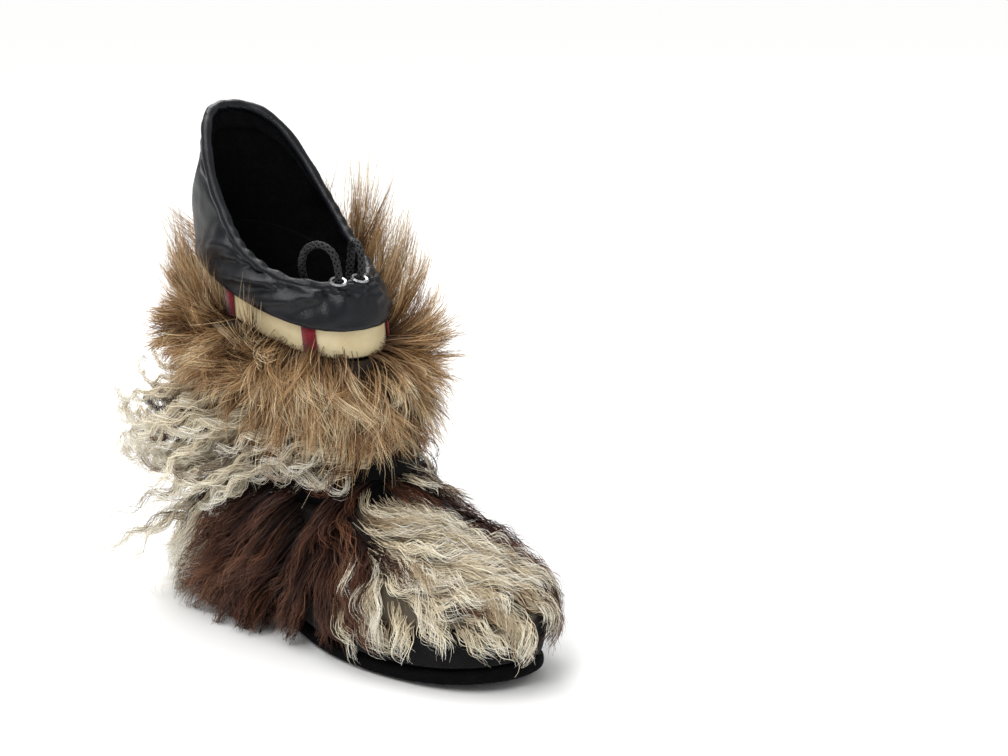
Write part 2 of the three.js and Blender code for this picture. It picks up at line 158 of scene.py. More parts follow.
# %% A shader with a mottled colour and a grain
def grained(name, dark, light, mottle_mm, grain_mm, bump, roughness, cells=False, **sockets):
    material = bpy.data.materials.new(name)
    material.use_nodes = True
    shader = material.node_tree.nodes["Principled BSDF"]
    place = add_node(material, "ShaderNodeTexCoord").outputs["Object"]
    mottle_inputs = {"Scale": 1000 / mottle_mm, "Detail": 6, "Roughness": 0.65}
    mottle = add_node(material, "ShaderNodeTexNoise", {"Vector": place}, mottle_inputs)
    ramp = add_node(material, "ShaderNodeValToRGB", {"Fac": mottle.outputs["Fac"]})
    for stop, position, colour in zip(ramp.color_ramp.elements, (0.3, 0.72), (dark, light)):
        stop.position = position
        stop.color = (*linear(colour), 1)
    if cells:
        grain = add_node(material, "ShaderNodeTexVoronoi", {"Vector": place}, {"Scale": 1000 / grain_mm})
        height = grain.outputs["Distance"]
    else:
        grain_inputs = {"Scale": 1000 / grain_mm, "Detail": 4}
        height = add_node(material, "ShaderNodeTexNoise", {"Vector": place}, grain_inputs).outputs["Fac"]
    relief_inputs = {"Strength": bump, "Distance": grain_mm * MM}
    relief = add_node(material, "ShaderNodeBump", {"Height": height}, relief_inputs)
    material.node_tree.links.new(ramp.outputs["Color"], shader.inputs["Base Color"])
    material.node_tree.links.new(relief.outputs["Normal"], shader.inputs["Normal"])
    shader.inputs["Roughness"].default_value = roughness
    for socket, value in sockets.items():
        shader.inputs[socket.replace("_", " ")].default_value = value
    return material


# %% Suede, felt, hide, leather, metal and cord
# Napped suede: no highlight, a dusty glow at its edges
black_suede = grained(
    "black_suede", "#060607", "#131315", 9, 0.8, 0.8, 0.95, Sheen_Weight=0.06, Specular_IOR_Level=0.12
)
# Pressed felt: matted fibres, matt all over
black_felt = grained("black_felt", "#050506", "#0e0e10", 6, 1.1, 1.0, 0.98, Specular_IOR_Level=0.08)
# Cream hide: the smooth side of a thin tanned skin
cream_hide = grained("cream_hide", "#d3bf92", "#eadcb4", 22, 0.9, 0.15, 0.55)
# Red felt: dyed, with a soft nap
red_felt = grained("red_felt", "#5d0814", "#8f1524", 5, 0.9, 0.8, 0.95, Sheen_Weight=0.2)
# Soft calf leather: fine cells and a satin highlight that breaks along the folds
black_leather = grained(
    "black_calf_leather", "#07080b", "#10121a", 30, 1.0, 0.14, 0.34, True, Specular_IOR_Level=0.3
)
# Plated steel: bright, with fine wear
plated_steel = grained("plated_steel", "#9c9ca0", "#c9c9cc", 3, 0.5, 0.05, 0.28, Metallic=1)
# Dark steel of the crimped cord ends
dark_steel = grained("dark_steel", "#202022", "#3a3a3d", 3, 0.5, 0.05, 0.35, Metallic=1)
# Polyester braid: thin filaments with a dull shine
polyester = grained("black_polyester", "#050506", "#131316", 2, 0.4, 0.3, 0.6)
print("materials:", len(bpy.data.materials))

# %% [markdown]
# ## The drawstring
# It is a round braid of black polyester, 5.2 mm thick. Each end leaves its eyelet at the front of the
# rim, loops over the rim and drops inside, where a crimped steel tube closes it. A braid is made by
# carriers that go round the cord both ways and dive under each other, so eight thin tubes that swing
# in and out of the cord's radius along the same route look like one.

# %% Routes of the two ends
CORD_THICKNESS = 5.2 * MM
ROUTES = {
    "outer": [
        (96.7, -19.8, 216), (97.2, -20, 217.7), (97.7, -20.1, 219.6), (98.3, -20.3, 221.5),
        (95, -22, 234), (86, -25, 238), (76, -28, 234), (72, -29, 224), (70, -22, 205), (64, -10, 186),
        (59, -3, 168),
    ],
    "inner": [
        (97, -5.1, 216), (97.5, -5, 217.7), (98, -4.8, 219.6), (98.6, -4.7, 221.5), (96, -3, 233),
        (88, -1, 237), (79, 2, 233), (76, 3, 224), (75, 1, 207), (73, -8, 186), (71, -18, 164),
    ],
}


def between(t, start, end, p, q):
    """Where one is at time t on the straight way from p at the start to q at the end."""
    share = (t - start) / (end - start)
    return p * (1 - share) + q * share


def smooth_route(stops, count):
    """A centripetal Catmull-Rom curve through the stops, as points about evenly spaced."""
    stops = np.array(stops) * MM
    ends = np.concatenate([[2 * stops[0] - stops[1]], stops, [2 * stops[-1] - stops[-2]]])
    knots = np.concatenate([[0], np.cumsum(np.sqrt(np.linalg.norm(np.diff(ends, axis=0), axis=1)))])
    rows = []
    for k in range(1, len(ends) - 2):
        t = np.linspace(knots[k], knots[k + 1], 24, endpoint=k == len(ends) - 3)[:, None]
        a, b, c, d = ends[k - 1 : k + 3]
        at_a, at_b, at_c, at_d = knots[k - 1 : k + 3]
        low = between(t, at_a, at_b, a, b)
        middle = between(t, at_b, at_c, b, c)
        high = between(t, at_c, at_d, c, d)
        first = between(t, at_a, at_c, low, middle)
        second = between(t, at_b, at_d, middle, high)
        rows.append(between(t, at_b, at_c, first, second))
    line = np.concatenate(rows)
    far = np.concatenate([[0], np.cumsum(np.linalg.norm(np.diff(line, axis=0), axis=1))])
    even = np.linspace(0, far[-1], count)
    return np.stack([np.interp(even, far, line[:, axis]) for axis in range(3)], axis=1), far[-1]


# %% Braid along a route
CARRIERS = 8
CARRIER_THICKNESS = 1.5 * MM
BRAID_PITCH = 16 * MM  # length of one turn of a carrier
BRAID_STEPS_PER_TURN = 16


def frames_along(line):
    """Directions across a line that turn as little as they can."""
    ahead = np.gradient(line, axis=0)
    ahead /= np.linalg.norm(ahead, axis=1, keepdims=True)
    first = np.cross(ahead[0], (0, 1, 0))
    across = [first / np.linalg.norm(first)]
    for direction in ahead[1:]:
        turned = across[-1] - direction * (across[-1] @ direction)
        across.append(turned / np.linalg.norm(turned))
    across = np.array(across)
    return across, np.cross(ahead, across)


def braid(name, line, length):
    across, over = frames_along(line)
    curve = bpy.data.curves.new(name, "CURVE")
    curve.dimensions = "3D"
    curve.bevel_depth = CARRIER_THICKNESS / 2
    curve.bevel_resolution = 1
    curve.use_fill_caps = True
    far = np.linspace(0, length, len(line))
    for carrier in range(CARRIERS):
        way = 1 if carrier % 2 else -1
        turn = 2 * np.pi * (way * far / BRAID_PITCH + carrier / CARRIERS)
        dive = np.cos(CARRIERS / 2 * 2 * np.pi * far / BRAID_PITCH + np.pi * (carrier % 2))
        radius = (CORD_THICKNESS - CARRIER_THICKNESS) / 2 - 0.25 * MM * (1 - dive)
        path = line + (across * np.cos(turn)[:, None] + over * np.sin(turn)[:, None]) * radius[:, None]
        spline = curve.splines.new("POLY")
        spline.points.add(len(path) - 1)
        spline.points.foreach_set("co", np.append(path, np.ones((len(path), 1)), axis=1).reshape(-1))
    strands = bpy.data.objects.new(name, curve)
    mesh = bpy.data.meshes.new_from_object(strands)
    mesh.name = name
    mesh.materials.clear()
    bpy.data.objects.remove(strands)
    return mesh


for side, stops in ROUTES.items():
    _, cord_length = smooth_route(stops, 2)
    line, _ = smooth_route(stops, round(cord_length / BRAID_PITCH * BRAID_STEPS_PER_TURN))
    braid_mesh = braid(f"braided_cord_{side}", line, cord_length)
    cord = add_piece(f"braided_cord_{side}", braid_mesh, [polyester], "cord", f"drawstring_{side}")

# %% [markdown]
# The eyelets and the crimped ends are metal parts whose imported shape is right, so they only get a finish.

# %% Metal finishes
def finish_node(node_name, material):
    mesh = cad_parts[node_name].data
    mesh.materials.clear()
    mesh.materials.append(material)


for side in ROUTES:
    finish_node(f"eyelet_{side}", plated_steel)
    finish_node(f"aglet_{side}", dark_steel)

# %% [markdown]
# ## Soft copies of the sewn pieces
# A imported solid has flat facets, which is right for physics but hard on the eye. A copy with its doubles
# merged and its triangles joined into four-sided faces can take a Subdivision Surface modifier, which
# rounds the facets into one smooth sweep and softens the cut edges as real suede and felt are.

# %% Copy a solid as a smooth piece
def quad_shape(node_name):
    shape = bmesh.new()
    shape.from_mesh(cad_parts[node_name].data)
    bmesh.ops.remove_doubles(shape, verts=shape.verts, dist=0.01 * MM)
    bmesh.ops.join_triangles(
        shape, faces=shape.faces, angle_face_threshold=math.pi, angle_shape_threshold=math.pi
    )
    return shape


def smooth_mesh(shape, name):
    for face in shape.faces:
        face.smooth = True
    mesh = bpy.data.meshes.new(name)
    shape.to_mesh(mesh)
    shape.free()
    return mesh


def add_rounding(piece, levels):
    rounding = piece.modifiers.new("rounding", "SUBSURF")
    rounding.levels = levels
    rounding.render_levels = levels


def soft_copy(node_name, name, material, slot):
    piece = add_piece(name, smooth_mesh(quad_shape(node_name), name), [material], slot, node_name)
    add_rounding(piece, 2)


# %% Sole, rand, strap, band and tabs
soft_copy("outsole", "felt_sole", black_felt, "sole")
soft_copy("rand", "suede_rand", black_suede, "black_suede")
soft_copy("ankle_strap", "suede_ankle_strap", black_suede, "black_suede")
soft_copy("pale_band", "cream_band", cream_hide, "pale_hide")
for k in range(1, 5):
    tab_mesh = smooth_mesh(quad_shape(f"red_tab_{k}"), f"felt_tab_{k}")
    add_piece(f"felt_tab_{k}", tab_mesh, [red_felt], "red_felt", f"red_tab_{k}")
for node_name in ("insole", "upper"):
    finish_node(node_name, black_felt)

# %% [markdown]
# ## The collar
# The leather sleeve is slack: the drawstring gathers its rim at the front, soft folds run down from
# there, and the back stands up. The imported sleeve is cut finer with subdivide_edges, then each point
# is pushed in or out from the sleeve's middle, so the inner and outer walls move together.

# %% Where a point lies on the sleeve
SLEEVE = {"middle": Vector((31, -12, 0)) * MM, "back": -43 * MM, "front": 108 * MM}
HEM = {"front": 189 * MM, "rise": 36 * MM}
RIM = {"front": 214 * MM, "back": 308 * MM, "bow": 2.5}


def smooth_step(value, low, high):
    t = np.clip((value - low) / (high - low), 0, 1)
    return t * t * (3 - 2 * t)


def on_sleeve(point):
    share = min(1, max(0, (point.x - SLEEVE["back"]) / (SLEEVE["front"] - SLEEVE["back"])))
    hem = HEM["front"] + HEM["rise"] * (1 - share)
    rim = RIM["front"] + (RIM["back"] - RIM["front"]) * math.sin(math.pi / 2 * (1 - share) ** RIM["bow"])
    height = (point.z - hem) / (rim - hem)
    away = point - SLEEVE["middle"]
    return share, height, math.atan2(away.y, away.x)


# %% Folds and gathers
FOLDS = [
    {"angle": -2.6, "lean": 0.5, "width": 0.13, "depth": 3.8},
    {"angle": -2.2, "lean": 0.8, "width": 0.1, "depth": -3.6},
    {"angle": -1.85, "lean": 1.1, "width": 0.08, "depth": 3.4},
    {"angle": -1.5, "lean": 1.3, "width": 0.08, "depth": -4.0},
    {"angle": -1.2, "lean": 1.2, "width": 0.08, "depth": 4.0},
    {"angle": -0.9, "lean": 1.0, "width": 0.07, "depth": -3.6},
    {"angle": -0.65, "lean": 0.8, "width": 0.06, "depth": 3.0},
    {"angle": -0.4, "lean": 0.5, "width": 0.06, "depth": -2.6},
    {"angle": 0.35, "lean": -0.4, "width": 0.08, "depth": 2.6},
    {"angle": 1.2, "lean": -0.7, "width": 0.16, "depth": -3.4},
    {"angle": 2.1, "lean": -0.5, "width": 0.2, "depth": 3.4},
]
GATHER_SPACING = 9 * MM
GATHER_DEPTH = 2.4
RUMPLE = {"size": 13 * MM, "depth": 1.5}
CASING = {"seam": 0.84, "width": 0.05, "depth": 1.6}  # the rim is folded over the drawstring and sewn down


def fold_push(share, height, angle, reach, place):
    push = 0
    for fold in FOLDS:
        near = (angle - fold["angle"] - fold["lean"] * (height - 0.5)) / fold["width"]
        push += fold["depth"] * math.exp(-near * near) * math.sin(math.pi * min(1, max(0, height))) ** 0.7
    drawn = smooth_step(height, 0.35, 1.0) * (0.2 + 0.8 * smooth_step(share, 0.6, 0.95))
    wander = 3.6 * noise.noise(Vector((3 * angle, 2 * height, 4)))
    push += GATHER_DEPTH * drawn * math.sin(2 * math.pi * angle * reach / GATHER_SPACING / 1.6 + wander)
    push -= CASING["depth"] * math.exp(-(((height - CASING["seam"]) / CASING["width"]) ** 2))
    return push + RUMPLE["depth"] * noise.noise(place / RUMPLE["size"])


RIM_STEPS = 72
collar_shape = quad_shape("collar")
bmesh.ops.subdivide_edges(collar_shape, edges=collar_shape.edges, cuts=3, use_grid_fill=True)
bmesh.ops.smooth_vert(
    collar_shape, verts=collar_shape.verts, factor=0.5, use_axis_x=True, use_axis_y=True, use_axis_z=True
)
for vert in collar_shape.verts:
    share, height, angle = on_sleeve(vert.co)
    out = vert.co - SLEEVE["middle"]
    out.z = 0
    reach = out.length
    push = fold_push(share, height, angle, reach, vert.co)
    vert.co += out.normalized() * push * MM * smooth_step(height, 0.0, 0.2)
rim_tops = {}
for vert in collar_shape.verts:
    angle = on_sleeve(vert.co)[2]
    step = round(angle / (2 * math.pi) * RIM_STEPS) % RIM_STEPS
    if step not in rim_tops or vert.co.z > rim_tops[step].z:
        rim_tops[step] = vert.co.copy()
collar_shape.normal_update()
for face in collar_shape.faces:
    away = face.calc_center_median() - SLEEVE["middle"]
    away.z = 0
    face.material_index = int(face.normal.dot(away) < 0)
collar_mesh = smooth_mesh(collar_shape, "leather_collar")
add_piece("leather_collar", collar_mesh, [black_leather, black_felt], "black_leather", "collar")

# %% [markdown]
# The rim is a casing: the leather is folded over the drawstring and sewn down, so the mouth ends in a
# soft roll. It is a tube along the highest points of the sleeve, pinched where the cord gathers it.

# %% Rolled rim
ROLL = {"radius": 3.4 * MM, "drop": 2.2 * MM, "pinch": 0.2, "pinches": 26, "rows": 288}
loop = np.array([rim_tops[step] for step in sorted(rim_tops)])
for _ in range(3):
    loop = (np.roll(loop, 1, axis=0) + 2 * loop + np.roll(loop, -1, axis=0)) / 4
loop[:, 2] -= ROLL["drop"]
roll_curve = bpy.data.curves.new("rim", "CURVE")
roll_curve.dimensions = "3D"
roll_curve.bevel_depth = ROLL["radius"]
roll_curve.bevel_resolution = 4
roll_spline = roll_curve.splines.new("POLY")
turn = np.linspace(0, len(loop), ROLL["rows"], endpoint=False)
closed = np.append(loop, loop[:1], axis=0)
rows = np.stack([np.interp(turn, range(len(closed)), closed[:, k]) for k in range(3)], axis=1)
roll_spline.points.add(len(rows) - 1)
pinch = np.sin(2 * np.pi * ROLL["pinches"] * np.arange(len(rows)) / len(rows) + 2 * np.sin(turn / 3))
drawn = 0.35 + 0.65 * smooth_step(rows[:, 0], 20 * MM, 80 * MM)
roll_spline.points.foreach_set("co", np.append(rows, np.ones((len(rows), 1)), axis=1).reshape(-1))
roll_spline.points.foreach_set("radius", 1 + ROLL["pinch"] * drawn * pinch)
roll_spline.use_cyclic_u = True
roll_piece = bpy.data.objects.new("rim", roll_curve)
roll_mesh = bpy.data.meshes.new_from_object(roll_piece)
bpy.data.objects.remove(roll_piece)
roll_mesh.name = "rolled_rim"
roll_mesh.materials.clear()
roll_mesh.polygons.foreach_set("use_smooth", np.ones(len(roll_mesh.polygons), bool))
add_piece("rolled_rim", roll_mesh, [black_leather], "black_leather")

# %% [markdown]
# ## Growing hair
# Real fur is thousands of hairs that stick together in locks. Hair curves don't travel well to other
# programs, so each hair here is a thin ribbon in a mesh. A lock has one guide line that crawls over the
# boot the way the coat is combed; its hairs start round the guide's root and close in on it towards the
# tip. All hairs of a coat are worked out together as arrays, which takes a second or two.

# %% The outside of the boot as triangles
def unit(vectors):
    return vectors / np.maximum(np.linalg.norm(vectors, axis=-1, keepdims=True), 1e-9)


def triangles_of(node_name):
    shape = bmesh.new()
    shape.from_mesh(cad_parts[node_name].data)
    bmesh.ops.remove_doubles(shape, verts=shape.verts, dist=0.01 * MM)
    shape.verts.index_update()
    points = np.array([vert.co for vert in shape.verts])
    triangles = np.array([[vert.index for vert in face.verts] for face in shape.faces])
    shape.free()
    return points, triangles


# Lines through the middle of the foot and shaft: a face that points away from them is outside
CORE_FOOT = {"front": 190 * MM, "height": 30 * MM, "top": 85 * MM}
CORE_SHAFT = {"front": 60 * MM, "lean": -12 * MM, "lean_start": 90 * MM, "lean_end": 210 * MM}
upper_points, upper_triangles = triangles_of("upper")
sole_points, sole_triangles = triangles_of("outsole")
middles = upper_points[upper_triangles].mean(axis=1)
low = middles[:, 2] < CORE_FOOT["top"]
core = middles.copy()
core[:, 0] = np.clip(middles[:, 0], 0, np.where(low, CORE_FOOT["front"], CORE_SHAFT["front"]))
leaning = smooth_step(middles[:, 2], CORE_SHAFT["lean_start"], CORE_SHAFT["lean_end"])
core[:, 1] = CORE_SHAFT["lean"] * leaning
core[low, 2] = CORE_FOOT["height"]
corners = upper_points[upper_triangles]
facings = np.cross(corners[:, 1] - corners[:, 0], corners[:, 2] - corners[:, 0])
upper_triangles = upper_triangles[((middles - core) * facings).sum(axis=1) > 0]
skin_points = np.concatenate([upper_points, sole_points])
skin = np.concatenate([upper_triangles, sole_triangles + len(upper_points)])
corners = skin_points[skin]
facings = np.cross(corners[:, 1] - corners[:, 0], corners[:, 2] - corners[:, 0])
skin_normals = np.zeros_like(skin_points)
for k in range(3):
    np.add.at(skin_normals, skin[:, k], facings)
skin_normals = unit(skin_normals)
areas = np.linalg.norm(facings, axis=1) / 2
body = BVHTree.FromPolygons(skin_points.tolist(), skin.tolist())
grown = len(upper_triangles)  # hair grows on the upper's triangles, which come first
print("outside of the upper:", round(areas[:grown].sum() * 1e4), "cm2")

# %% [markdown]
# Two questions come back for every hair: where is the skin under this point, and which way does it face?
# A BVH tree answers the first, and the corners' normals, mixed by the point's place in its triangle, the
# second, so that hair doesn't show the facets.

# %% The skin under a point
def settle(places):
    hits = [body.find_nearest(Vector(place)) for place in places]
    at = np.array([hit[0] for hit in hits])
    which = skin[[hit[2] for hit in hits]]
    a, b, c = (skin_points[which[:, k]] for k in range(3))
    e, f, g = b - a, c - a, at - a
    ee, ef, ff = ((p * q).sum(axis=1) for p, q in ((e, e), (e, f), (f, f)))
    ge, gf = (g * e).sum(axis=1), (g * f).sum(axis=1)
    scale = np.maximum(ee * ff - ef * ef, 1e-18)
    v, w = (ff * ge - ef * gf) / scale, (ee * gf - ef * ge) / scale
    weights = np.stack([1 - v - w, v, w], axis=1)[..., None]
    return at, unit((skin_normals[which] * weights).sum(axis=1))


# %% [markdown]
# The coats are separated by sewn lines that rise or fall from front to back. A root belongs to a coat
# when it lies between that coat's two lines.

# %% Roots between two lines
LINES = {
    "rand_top": {"front": 36, "rise": -8},
    "foot_top": {"front": 98, "rise": -12},
    "foot_wool_top": {"front": 84, "rise": -6},
    "fleece_bottom": {"front": 106, "rise": -12},
    "fleece_wool_bottom": {"front": 122, "rise": -24},
    "fox_bottom": {"front": 136, "rise": 28},
    "fox_top": {"front": 170, "rise": 36},
}
LINE_BACK = -44 * MM
LINE_SPAN = 165 * MM


def line_height(name, x):
    share = np.clip((x - LINE_BACK) / LINE_SPAN, 0, 1)
    return (LINES[name]["front"] + LINES[name]["rise"] * (1 - share)) * MM


def roots(count, low, high, seed, keep=None):
    rng = np.random.default_rng(seed)
    tries = count * 12
    pick = rng.choice(grown, size=tries, p=areas[:grown] / areas[:grown].sum())
    u, v = np.sqrt(rng.random(tries)), rng.random(tries)
    weights = np.stack([1 - u, u * (1 - v), u * v], axis=1)[..., None]
    at = (skin_points[skin[pick]] * weights).sum(axis=1)
    within = (at[:, 2] > line_height(low, at[:, 0])) & (at[:, 2] < line_height(high, at[:, 0]))
    if keep is not None:
        within &= keep(at / MM)
    return at[within][:count]


# %% [markdown]
# A guide takes equal steps over the skin. Each step follows the comb, which is a function of the place,
# so neighbours lie alike. Meanwhile the guide rises off the skin: quickly at the root, then hardly.

# %% Guides over the skin
FLOOR_BEND = {"start": 22 * MM, "end": 5 * MM}  # heights between which hair turns off the floor


def guides(at, comb, length, stand, stops, droop=0.0):
    place = at.copy()
    rows, outs = [], []
    for k in range(stops):
        t = k / (stops - 1)
        place, out = settle(place)
        row = place + out * (stand * (1 - (1 - t) ** 2))[:, None]
        row[:, 2] -= droop * t * t
        rows.append(row)
        outs.append(out)
        heading = comb(place, out)
        heading[:, 2] *= smooth_step(place[:, 2], FLOOR_BEND["end"], FLOOR_BEND["start"])
        heading -= out * (heading * out).sum(axis=1, keepdims=True)
        place = place + unit(heading) * (length / (stops - 1))[:, None]
    return np.stack(rows, axis=1), np.stack(outs, axis=1)


def drift(places, size, seed):
    """A slow wave through space, from about -1 to 1, that makes neighbours alike and patches differ."""
    x, y, z = (places / size).T
    s = 1.7 * seed
    waves = np.sin(x + 1.3 * z + s) + np.sin(1.4 * y - 0.7 * x + 2.1 * s) + np.sin(1.1 * z + 0.9 * y - s)
    return waves / 2.2


def swirl(heading, out, angle):
    """The headings turned about the skin's normal."""
    turned = np.cross(out, heading)
    return heading * np.cos(angle)[:, None] + turned * np.sin(angle)[:, None]


# %% [markdown]
# Round each guide, hairs differ in where they start, how long they are and how far they stray. A wave
# runs along them, sideways and in depth, which turns straight hair into ringlets where it is strong.
# Colours go from a dark root over a middle tone to the tip; the dark root is partly painted shade among the
# locks and the pale tip partly painted highlight, besides the hair's own colour.

# %% Hairs round their guides
FLOOR_CLEARANCE = 0.8 * MM
SHORTEST = 0.55  # of a lock's hairs, as a share of its guide
SCATTER = 0.55  # of the roots round the guide, as a share of the spread
UNEVEN_PACE = 0.12  # how much the waves of a loose lock differ in length
DEPTH_SHARE = 0.6  # of a wave's swing sideways that also goes in and out
TWIST = 0.7  # how much the ribbons turn out of the skin's plane
TAPER = 0.8  # share of its width that a ribbon loses towards the tip
SHADE_VARIETY = 0.22


def hairs(
    lines, outs, per_lock, *, spread, wave, wavelength, width, colours, seed, close=0.7, stray=0.25, loose=0.3
):
    """Corners and colours of ribbons, as arrays of hair, stop, edge and coordinate.

    Towards the tip a lock closes in on its guide and single hairs stray; loose locks wave less in step."""
    rng = np.random.default_rng(seed)
    count, stops = lines.shape[:2]
    t = np.linspace(0, 1, stops)
    ahead = unit(np.gradient(lines, axis=1))
    side = unit(np.cross(ahead, outs))
    over = np.cross(side, ahead)
    steps = np.linalg.norm(np.diff(lines, axis=1), axis=2)
    far = np.concatenate([np.zeros((count, 1)), np.cumsum(steps, axis=1)], axis=1)

    reach = SHORTEST + (1 - SHORTEST) * np.sqrt(rng.random((count, per_lock, 1)))
    spot = t * reach * (stops - 1)
    base = np.minimum(spot.astype(int), stops - 2)
    part = (spot - base)[..., None]
    lock = np.arange(count)[:, None, None]

    def along(rows):
        return rows[lock, base] * (1 - part) + rows[lock, base + 1] * part

    distance = along(far[..., None])[..., 0]
    spread_now = spread * (1 - close * t**0.8)
    a, b, c = (rng.normal(0, SCATTER, (count, per_lock, 1)) for _ in range(3))
    pull = rng.normal(0, 1, (3, count, per_lock, 1)) * stray * spread * t**1.5
    phase = rng.random((count, 1, 1)) * 2 * np.pi + loose * rng.normal(0, 1, (count, per_lock, 1))
    pace = 1 + UNEVEN_PACE * loose * rng.normal(0, 1, (count, per_lock, 1))
    turns = 2 * np.pi * distance * pace / wavelength + phase
    swing = wave[:, None, None] * (t**0.8) * (0.7 + 0.6 * rng.random((count, per_lock, 1)))
    sideways = a * spread_now + swing * np.sin(turns) + pull[0]
    lifted = np.abs(b) * spread_now + DEPTH_SHARE * swing * np.cos(turns) + pull[1]
    strands = along(lines) + along(side) * sideways[..., None] + along(over) * lifted[..., None]
    strands = strands + along(ahead) * (c * spread + pull[2])[..., None]
    strands[..., 2] = np.maximum(strands[..., 2], FLOOR_CLEARANCE)

    ribbon = unit(np.gradient(strands, axis=2))
    roll = along(over) + TWIST * rng.normal(0, 1, (count, per_lock, 1, 3))
    across = unit(np.cross(ribbon, roll)) * (0.5 * width * (1 - TAPER * t**3))[:, None]
    edges = np.stack([strands - across, strands + across], axis=3)
    shade = np.exp(SHADE_VARIETY * rng.normal(0, 1, (count, per_lock, 1, 1)))
    # painted shade and highlight: roots darker and tips paler, partly the hair's own colour and partly
    # painted light
    early, late = (np.clip(2 * t - k, 0, 1)[:, None] for k in (0, 1))
    root, middle, tip = (colour[:, None, None] for colour in colours)
    tint = ((root * (1 - early) + middle * early) * (1 - late) + tip * late) * shade
    tint = np.clip(np.broadcast_to(tint[:, :, :, None], edges.shape), 0, 0.95)
    return edges.reshape(-1, stops, 2, 3), tint.reshape(-1, stops, 2, 3)


# %% [markdown]
# The ribbons become one mesh. Each also gets a cell of its own in a flat layout, which lets other
# programs paint the hair's colours on an image.

# %% Mesh of a coat
def hair_mesh(name, edges, tint):
    strands, stops = edges.shape[:2]
    corner = np.arange(strands * stops * 2).reshape(strands, stops, 2)
    quads = [corner[:, :-1, 0], corner[:, :-1, 1], corner[:, 1:, 1], corner[:, 1:, 0]]
    faces = np.stack(quads, axis=-1).reshape(-1, 4)
    mesh = bpy.data.meshes.new(name)
    mesh.vertices.add(strands * stops * 2)
    mesh.vertices.foreach_set("co", edges.reshape(-1))
    mesh.loops.add(faces.size)
    mesh.loops.foreach_set("vertex_index", faces.reshape(-1))
    mesh.polygons.add(len(faces))
    mesh.polygons.foreach_set("loop_start", np.arange(len(faces)) * 4)
    mesh.polygons.foreach_set("loop_total", np.full(len(faces), 4))
    mesh.polygons.foreach_set("use_smooth", np.ones(len(faces), bool))
    mesh.update(calc_edges=True)
    store_colour(mesh, tint.reshape(-1, 3))
    columns = math.ceil(math.sqrt(strands))
    cell = np.stack([np.arange(strands) % columns, np.arange(strands) // columns], axis=1)[:, None, None]
    u, v = np.meshgrid([0.1, 0.9], np.linspace(0.02, 0.98, stops))
    layout = ((cell + np.stack([u, v], axis=-1)) / columns).reshape(-1, 2)
    mesh.uv_layers.new(name="OFBake").uv.foreach_set("vector", layout[faces.reshape(-1)].reshape(-1))
    return mesh


def store_colour(mesh, tint):
    stored = mesh.color_attributes.new("hair_colour", "FLOAT_COLOR", "POINT")
    stored.data.foreach_set("color", np.append(tint, np.ones((len(tint), 1)), axis=1).reshape(-1))


# %% [markdown]
# Hair is a clear keratin fibre with a colour inside: a soft highlight and no sharp one. The colour of
# each hair, dark at the root and pale at the tip, is stored on its ribbon as an attribute; the dark root is
# partly painted shade among the locks and the pale tip partly painted highlight.

# %% Hair material
hair = bpy.data.materials.new("keratin_hair")
hair.use_nodes = True
hair_shader = hair.node_tree.nodes["Principled BSDF"]
stored_colour = add_node(hair, "ShaderNodeAttribute", attribute_name="hair_colour")
hair.node_tree.links.new(stored_colour.outputs["Color"], hair_shader.inputs["Base Color"])
hair_shader.inputs["Roughness"].default_value = 0.5
hair_shader.inputs["Specular IOR Level"].default_value = 0.25

# %% [markdown]
# ## Colours of the coats
# Each entry is one kind of lock: the colour at its root, half way and at its tip. Where a kind grows is
# decided by the place of the root, with borders that wander.

# %% Kinds of lock
# Dark roots are partly the hair's own colour and partly painted shade among the locks; pale tips are partly
# its own colour and partly painted highlight
KINDS = {
    "brown": ("#0f0806", "#341a10", "#5f3925"),
    "rust": ("#180d08", "#4a2a1a", "#83593e"),
    "cream": ("#a8977d", "#dbceb3", "#f1e9d8"),
    "tan": ("#4a3a2c", "#a08a6c", "#d3c3a5"),
    "grey": ("#2f2720", "#7f705f", "#bdae98"),
    "white": ("#b3a58c", "#e4d8c0", "#f7f0e2"),
    "fox": ("#3f2b1c", "#957046", "#c8a67a"),
    "fox_dark": ("#21160f", "#5b402b", "#8f6a48"),
    "fox_pale": ("#5d4733", "#b8966c", "#e8d6b3"),
}
PALETTE = {kind: np.array([linear(colour) for colour in colours]) for kind, colours in KINDS.items()}


def paint(kinds):
    """Root, middle and tip colours, one row for each lock."""
    table = np.array([PALETTE[kind] for kind in kinds])
    return table[:, 0], table[:, 1], table[:, 2]


def deal(dice, shares):
    """Kinds dealt out by a dice throw from 0 to 1."""
    bounds = np.cumsum(list(shares.values()))[:-1]
    return np.array(list(shares), dtype=object)[np.searchsorted(bounds, dice)]


# %% Where the kinds grow
def foot_kinds(at, seed):
    dice = np.random.default_rng(seed).random(len(at))
    x, y, z = (at / MM + 8 * drift(at, 13 * MM, 3)[:, None]).T
    heel_outside = (x < 24) & (y < 4) & (z > 44)
    heel_inside = (x < 34) & (y >= 4)
    instep = (x > 92) & (x < 124) & (y > -6) & (z > 84)
    toe_patch = (x - 1.2 * np.maximum(0, -26 - y) > 122) & (y < 0.12 * (x - 120))
    kinds = deal(dice, {"brown": 0.72, "rust": 0.28})
    regions = [
        (heel_outside, {"cream": 0.62, "white": 0.2, "grey": 0.12, "brown": 0.06}),
        (heel_inside, {"cream": 0.35, "tan": 0.35, "rust": 0.3}),
        (instep, {"brown": 0.55, "rust": 0.1, "grey": 0.15, "white": 0.2}),
        (toe_patch, {"cream": 0.66, "white": 0.12, "tan": 0.14, "rust": 0.08}),
    ]
    for where, shares in regions:
        kinds[where] = deal(dice[where], shares)
    return kinds


